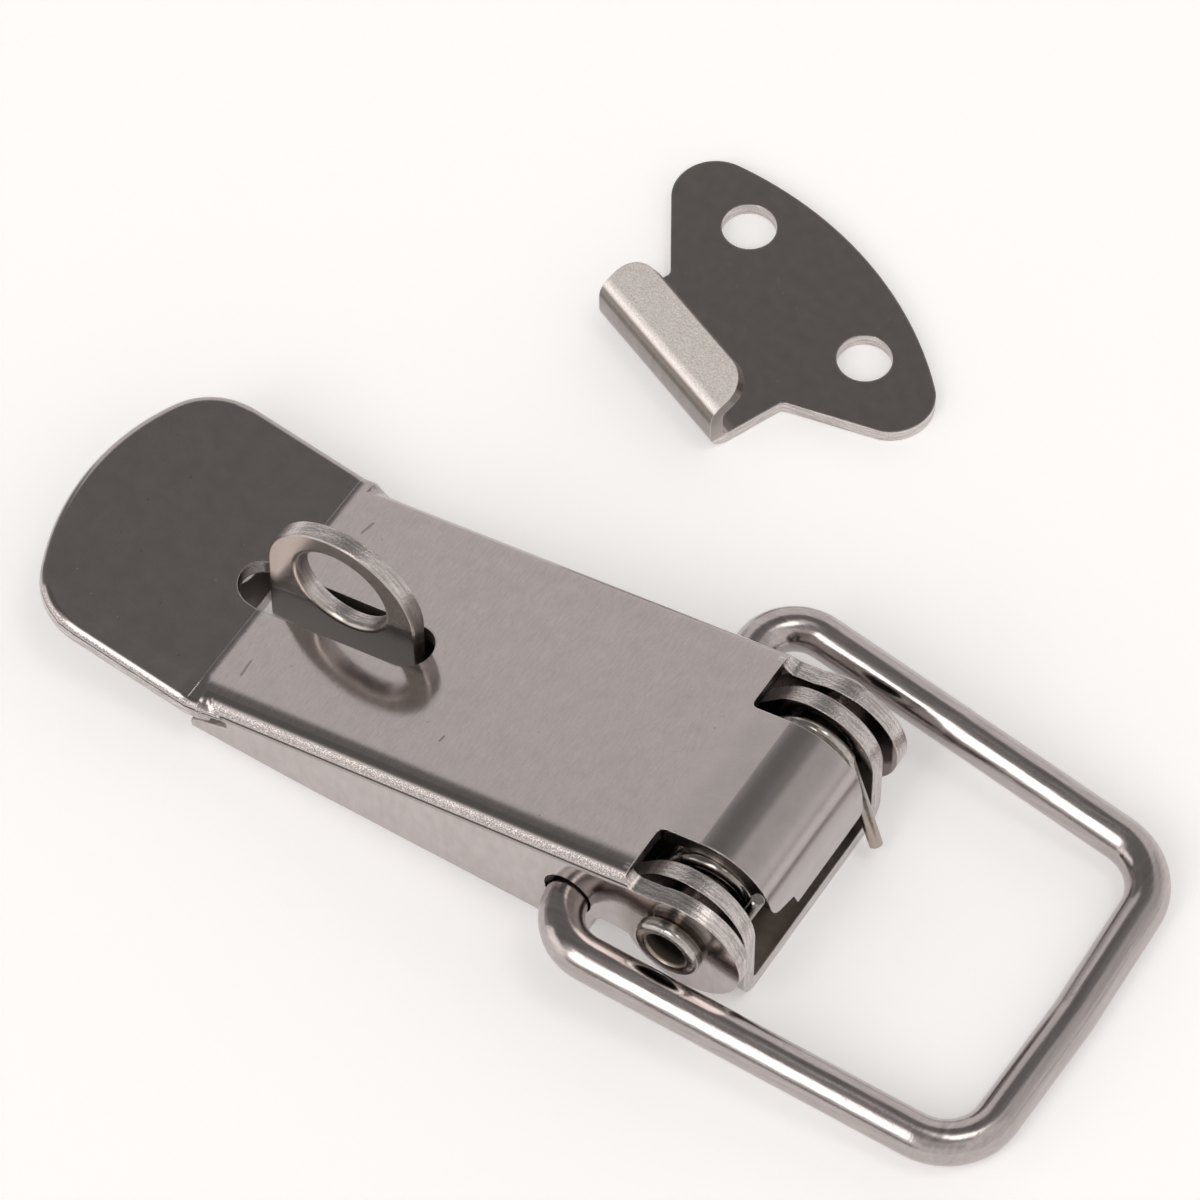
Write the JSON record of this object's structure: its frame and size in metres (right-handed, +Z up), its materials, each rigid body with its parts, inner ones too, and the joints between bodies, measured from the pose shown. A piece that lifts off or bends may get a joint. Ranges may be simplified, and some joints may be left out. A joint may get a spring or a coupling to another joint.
{
  "type": "over centre toggle latch",
  "caption": "Sheet-steel toggle latch: sloped lever with thumb tab and rolled tongue on a sprung hollow rivet, wire bail, padlock eye through the lever, and a separate hooked keeper plate.",
  "frame": {"origin": "on the base's mounting face, in the middle plane, straight under the pivot rivet's axis", "axes": "+X from the thumb tab towards the bail's crossbar, +Y towards the far side and the keeper, +Z up out of the mounting face"},
  "size_m": [0.0764, 0.0624, 0.0134],
  "materials": {
    "base_sheet": "satin stainless sheet, warm grey",
    "lever_sheet": "tumbled satin stainless sheet, fine mottled grain",
    "rivet_tube": "bright rolled stainless tube",
    "bail_wire": "drawn stainless wire, glossy along its length",
    "spring_wire": "polished spring wire",
    "keeper_sheet": "satin stainless sheet, grainy on the bends"
  },
  "bodies": {
    "base": {"base_plate": "base_sheet", "torsion_spring": "spring_wire", "keeper": "keeper_sheet"},
    "lever": {"lever": "lever_sheet", "rivet": "rivet_tube"},
    "bail": {"bail": "bail_wire"}
  },
  "joints": [
    {"name": "lever_pivot", "type": "hinge", "parent": "base", "child": "lever", "pos_m": [0, 0, 0.0065], "axis": [0, 1, 0], "range_deg": [0, 140], "stiffness_Nm_per_rad": 0.02, "springref_deg": -20.05, "deforming": ["torsion_spring"]},
    {"name": "bail_pivot", "type": "hinge", "parent": "lever", "child": "bail", "pos_m": [-0.0078, 0, 0.0049], "axis": [0, -1, 0], "range_deg": [0, 150]}
  ]
}
